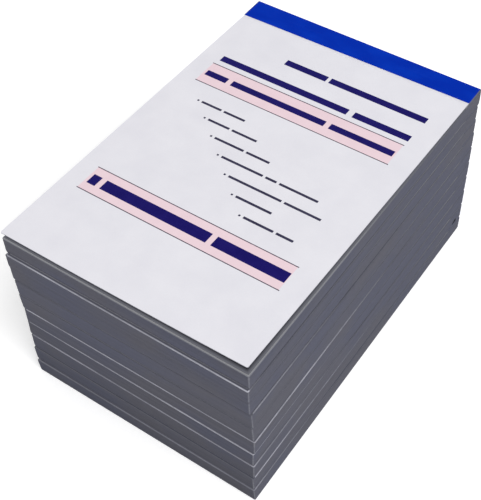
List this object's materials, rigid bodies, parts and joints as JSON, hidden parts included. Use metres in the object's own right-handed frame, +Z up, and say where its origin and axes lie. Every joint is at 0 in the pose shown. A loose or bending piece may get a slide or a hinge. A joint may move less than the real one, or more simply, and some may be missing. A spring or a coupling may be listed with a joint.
{
  "type": "pile of order books",
  "caption": "Pile of pocket order books, each a top-bound pad of carbon-copy forms with card cover, chipboard back, wire staples and taped spine; the top one opens.",
  "frame": {"origin": "centre of the pile's box at its foot, on the surface that it stands on", "axes": "+Z up through the pile; +Y towards the taped spines; -Y towards the free ends of the leaves"},
  "size_m": [0.0918, 0.1374, 0.0678],
  "materials": {
    "cover_card": "uncoated card, faintly lavender white, satin",
    "binding_tape": "royal blue binding tape, fine cloth grain, satin",
    "leaf_edges": "blue-grey cut edges of thin leaves, matt",
    "chipboard": "grey chipboard, short fibres, matt",
    "carbon_paper": "blue-black carbon coating, slightly waxy",
    "white_leaf": "thin white form paper, matt",
    "yellow_leaf": "thin canary form paper, matt",
    "pink_leaf": "thin pink form paper, matt",
    "staple_wire": "bright drawn wire, satin"
  },
  "bodies": {
    "book_10": {"book_10_back_board": "chipboard", "book_10_leaves": "leaf_edges", "book_10_carbon_sheets": "carbon_paper", "book_10_front_cover": "cover_card", "book_10_spine_tape": "binding_tape"},
    "book_09": {"book_09_back_board": "chipboard", "book_09_leaves": "leaf_edges", "book_09_carbon_sheets": "carbon_paper", "book_09_front_cover": "cover_card", "book_09_spine_tape": "binding_tape"},
    "book_08": {"book_08_back_board": "chipboard", "book_08_leaves": "leaf_edges", "book_08_carbon_sheets": "carbon_paper", "book_08_front_cover": "cover_card", "book_08_spine_tape": "binding_tape"},
    "book_07": {"book_07_back_board": "chipboard", "book_07_leaves": "leaf_edges", "book_07_carbon_sheets": "carbon_paper", "book_07_front_cover": "cover_card", "book_07_spine_tape": "binding_tape"},
    "book_06": {"book_06_back_board": "chipboard", "book_06_leaves": "leaf_edges", "book_06_carbon_sheets": "carbon_paper", "book_06_front_cover": "cover_card", "book_06_spine_tape": "binding_tape"},
    "book_05": {"book_05_back_board": "chipboard", "book_05_leaves": "leaf_edges", "book_05_carbon_sheets": "carbon_paper", "book_05_front_cover": "cover_card", "book_05_spine_tape": "binding_tape"},
    "book_04": {"book_04_back_board": "chipboard", "book_04_leaves": "leaf_edges", "book_04_carbon_sheets": "carbon_paper", "book_04_front_cover": "cover_card", "book_04_spine_tape": "binding_tape"},
    "book_03": {"book_03_back_board": "chipboard", "book_03_leaves": "leaf_edges", "book_03_carbon_sheets": "carbon_paper", "book_03_front_cover": "cover_card", "book_03_spine_tape": "binding_tape"},
    "book_02": {"book_02_back_board": "chipboard", "book_02_leaves": "leaf_edges", "book_02_carbon_sheets": "carbon_paper", "book_02_front_cover": "cover_card", "book_02_spine_tape": "binding_tape"},
    "book_01": {"book_01_back_board": "chipboard", "book_01_leaves": "leaf_edges", "book_01_cover_stub": "cover_card", "book_01_spine_tape": "binding_tape", "book_01_staple_left": "staple_wire", "book_01_staple_right": "staple_wire"},
    "top_cover": {"book_01_front_cover": "cover_card"},
    "carbon_1": {"book_01_carbon_sheet_1": "carbon_paper"},
    "carbon_2": {"book_01_carbon_sheet_2": "carbon_paper"},
    "carbon_3": {"book_01_carbon_sheet_3": "carbon_paper"},
    "original": {"book_01_original_leaf": "white_leaf"},
    "duplicate": {"book_01_duplicate_leaf": "yellow_leaf"},
    "triplicate": {"book_01_triplicate_leaf": "pink_leaf"}
  },
  "joints": [
    {"name": "lift_book_09", "type": "slide", "parent": "book_10", "child": "book_09", "axis": [0, 0, 1], "range_m": [0, 0.03]},
    {"name": "lift_book_08", "type": "slide", "parent": "book_09", "child": "book_08", "axis": [0, 0, 1], "range_m": [0, 0.03]},
    {"name": "lift_book_07", "type": "slide", "parent": "book_08", "child": "book_07", "axis": [0, 0, 1], "range_m": [0, 0.03]},
    {"name": "lift_book_06", "type": "slide", "parent": "book_07", "child": "book_06", "axis": [0, 0, 1], "range_m": [0, 0.03]},
    {"name": "lift_book_05", "type": "slide", "parent": "book_06", "child": "book_05", "axis": [0, 0, 1], "range_m": [0, 0.03]},
    {"name": "lift_book_04", "type": "slide", "parent": "book_05", "child": "book_04", "axis": [0, 0, 1], "range_m": [0, 0.03]},
    {"name": "lift_book_03", "type": "slide", "parent": "book_04", "child": "book_03", "axis": [0, 0, 1], "range_m": [0, 0.03]},
    {"name": "lift_book_02", "type": "slide", "parent": "book_03", "child": "book_02", "axis": [0, 0, 1], "range_m": [0, 0.03]},
    {"name": "lift_book_01", "type": "slide", "parent": "book_02", "child": "book_01", "axis": [0, 0, 1], "range_m": [0, 0.03]},
    {"name": "cover_hinge", "type": "hinge", "parent": "book_01", "child": "top_cover", "pos_m": [0.00004, 0.05961, 0.06779], "axis": [-0.9999, -0.0124, 0], "range_deg": [0, 175]},
    {"name": "original_leaf_hinge", "type": "hinge", "parent": "book_01", "child": "original", "pos_m": [0.00004, 0.05961, 0.06779], "axis": [-0.9999, -0.0124, 0], "range_deg": [0, 161.5]},
    {"name": "duplicate_leaf_hinge", "type": "hinge", "parent": "book_01", "child": "duplicate", "pos_m": [0.00004, 0.05961, 0.06779], "axis": [-0.9999, -0.0124, 0], "range_deg": [0, 147.5]},
    {"name": "triplicate_leaf_hinge", "type": "hinge", "parent": "book_01", "child": "triplicate", "pos_m": [0.00004, 0.05961, 0.06779], "axis": [-0.9999, -0.0124, 0], "range_deg": [0, 133.5]},
    {"name": "carbon_1_slide", "type": "slide", "parent": "top_cover", "child": "carbon_1", "axis": [0, -1, 0], "range_m": [0, 0.1]},
    {"name": "carbon_2_slide", "type": "slide", "parent": "top_cover", "child": "carbon_2", "axis": [0, -1, 0], "range_m": [0, 0.1]},
    {"name": "carbon_3_slide", "type": "slide", "parent": "top_cover", "child": "carbon_3", "axis": [0, -1, 0], "range_m": [0, 0.1]}
  ],
  "couplings": [
    {"joint": "original_leaf_hinge", "follows": "cover_hinge", "ratio": 0.92},
    {"joint": "duplicate_leaf_hinge", "follows": "cover_hinge", "ratio": 0.84},
    {"joint": "triplicate_leaf_hinge", "follows": "cover_hinge", "ratio": 0.76}
  ]
}
